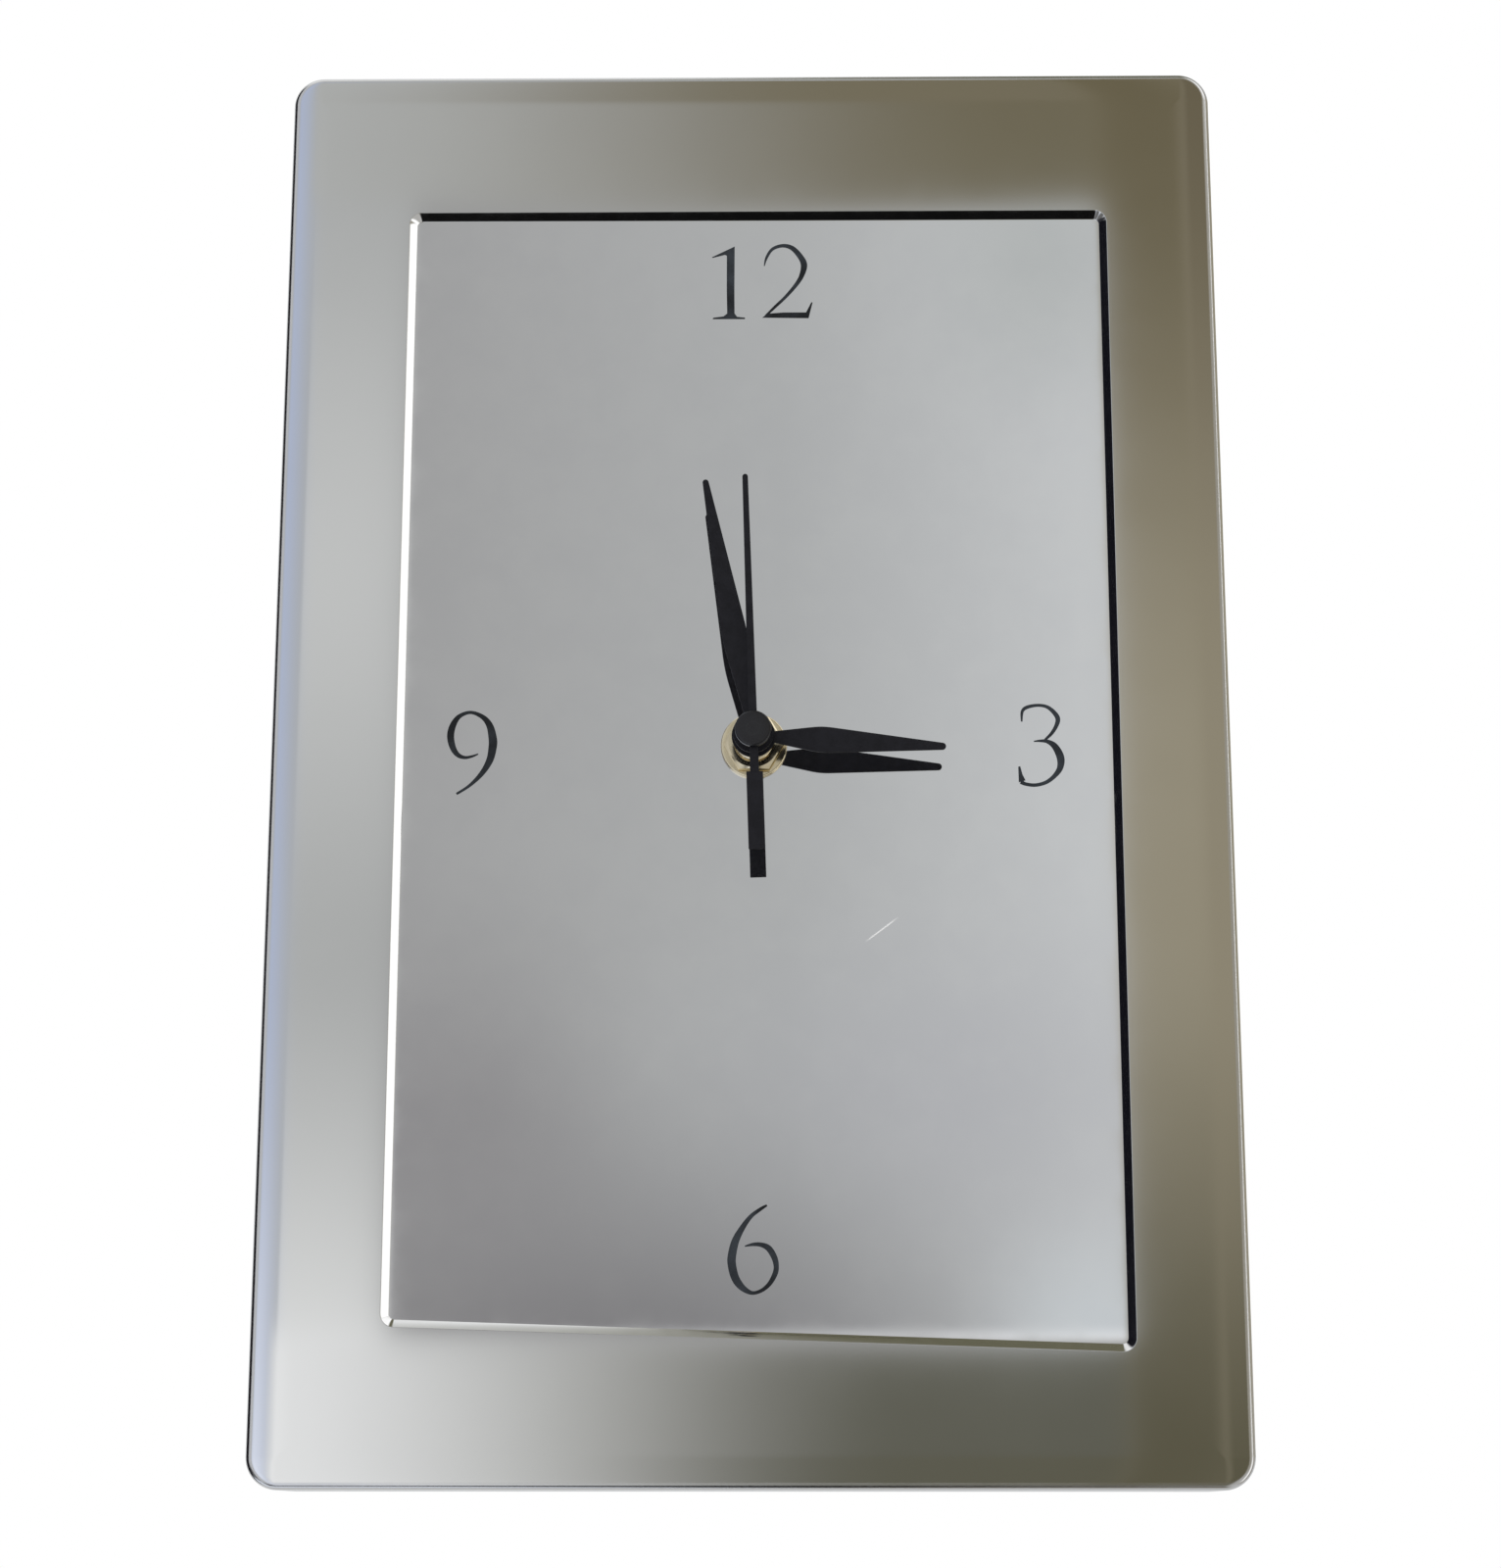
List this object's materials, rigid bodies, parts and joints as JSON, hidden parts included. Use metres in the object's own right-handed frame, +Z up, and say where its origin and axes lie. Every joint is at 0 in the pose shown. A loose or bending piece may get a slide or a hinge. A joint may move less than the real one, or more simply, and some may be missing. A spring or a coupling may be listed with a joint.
{
  "type": "wall clock",
  "caption": "Portrait wall clock with a polished metal frame, a recessed mirror dial, black hands on a brass-nutted shaft and a geared battery movement behind.",
  "frame": {"origin": "centre of the round hanging hole, on the rear face of the hanger plate", "axes": "+X right seen from the front, +Y back into the wall, +Z up; the dial faces -Y"},
  "size_m": [0.2, 0.0407, 0.3025],
  "materials": {
    "polished_frame": "satin-polished, slightly warm silver",
    "mirror_dial": "mirror-polished sheet",
    "board": "brown hardboard, matt",
    "zinc_steel": "zinc-plated steel",
    "black_case": "moulded black plastic, fine grain",
    "brass": "turned brass",
    "black_rubber": "soft black rubber",
    "soft_iron": "annealed iron sheet",
    "copper_wire": "enamelled copper winding",
    "bobbin_plastic": "natural nylon",
    "circuit_laminate": "green laminate",
    "chip_resin": "black resin",
    "cell_wrap": "plain wrapped steel can",
    "gear_plastic": "natural acetal",
    "black_hand": "satin black paint on aluminium"
  },
  "bodies": {
    "clock": {"frame": "polished_frame", "frame_studs": "zinc_steel", "dial_plate": "mirror_dial", "backing_board": "board", "stud_washers": "zinc_steel", "stud_nuts": "zinc_steel", "hanger_plate": "zinc_steel", "hanger_rivets": "zinc_steel", "front_case": "black_case", "rear_cover": "black_case", "rubber_gasket": "black_rubber", "threaded_bush": "brass", "brass_washer": "brass", "hex_nut": "brass", "stator": "soft_iron", "coil_core": "soft_iron", "coil_bobbin": "bobbin_plastic", "coil_winding": "copper_wire", "circuit_board": "circuit_laminate", "driver_chip": "chip_resin", "crystal_can": "zinc_steel", "cell": "cell_wrap", "plus_contact": "zinc_steel", "minus_contact": "zinc_steel"},
    "second_body": {"second_wheel": "gear_plastic", "second_hand": "black_hand", "second_cap": "black_hand"},
    "minute_body": {"minute_pipe": "brass", "minute_hand": "black_hand", "minute_hub": "black_hand", "minute_nut": "brass"},
    "hour_body": {"hour_wheel": "gear_plastic", "hour_hand": "black_hand", "hour_hub": "black_hand"},
    "rotor_body": {"rotor": "soft_iron"},
    "fifth_body": {"fifth_wheel": "gear_plastic"},
    "third_body": {"third_wheel": "gear_plastic"},
    "centre_body": {"centre_wheel": "gear_plastic"},
    "motion_body": {"motion_wheel": "gear_plastic"},
    "setting_body": {"setting_knob": "black_case"}
  },
  "joints": [
    {"name": "second_turn", "type": "hinge", "parent": "clock", "child": "second_body", "pos_m": [0.0008, 0, -0.13105], "axis": [0, 1, 0], "continuous": true},
    {"name": "minute_turn", "type": "hinge", "parent": "clock", "child": "minute_body", "pos_m": [0.0008, 0, -0.13105], "axis": [0, 1, 0], "continuous": true},
    {"name": "hour_turn", "type": "hinge", "parent": "clock", "child": "hour_body", "pos_m": [0.0008, 0, -0.13105], "axis": [0, 1, 0], "continuous": true},
    {"name": "rotor_turn", "type": "hinge", "parent": "clock", "child": "rotor_body", "pos_m": [0.01307, 0, -0.11717], "axis": [0, 1, 0], "continuous": true},
    {"name": "fifth_turn", "type": "hinge", "parent": "clock", "child": "fifth_body", "pos_m": [0.0036, 0, -0.12062], "axis": [0, 1, 0], "continuous": true},
    {"name": "third_turn", "type": "hinge", "parent": "clock", "child": "third_body", "pos_m": [-0.00921, 0, -0.12527], "axis": [0, 1, 0], "continuous": true},
    {"name": "centre_turn", "type": "hinge", "parent": "clock", "child": "centre_body", "pos_m": [0.0008, 0, -0.13105], "axis": [0, 1, 0], "continuous": true},
    {"name": "motion_turn", "type": "hinge", "parent": "clock", "child": "motion_body", "pos_m": [0.0104, 0, -0.13105], "axis": [0, 1, 0], "continuous": true},
    {"name": "setting_turn", "type": "hinge", "parent": "clock", "child": "setting_body", "pos_m": [0.0208, 0, -0.13105], "axis": [0, 1, 0], "continuous": true}
  ],
  "couplings": [
    {"joint": "fifth_turn", "follows": "second_turn", "ratio": -5},
    {"joint": "rotor_turn", "follows": "second_turn", "ratio": 30},
    {"joint": "third_turn", "follows": "second_turn", "ratio": -0.13333},
    {"joint": "centre_turn", "follows": "second_turn", "ratio": 0.016667},
    {"joint": "motion_turn", "follows": "minute_turn", "ratio": -0.33333},
    {"joint": "hour_turn", "follows": "minute_turn", "ratio": 0.083333},
    {"joint": "setting_turn", "follows": "minute_turn", "ratio": 0.75}
  ]
}
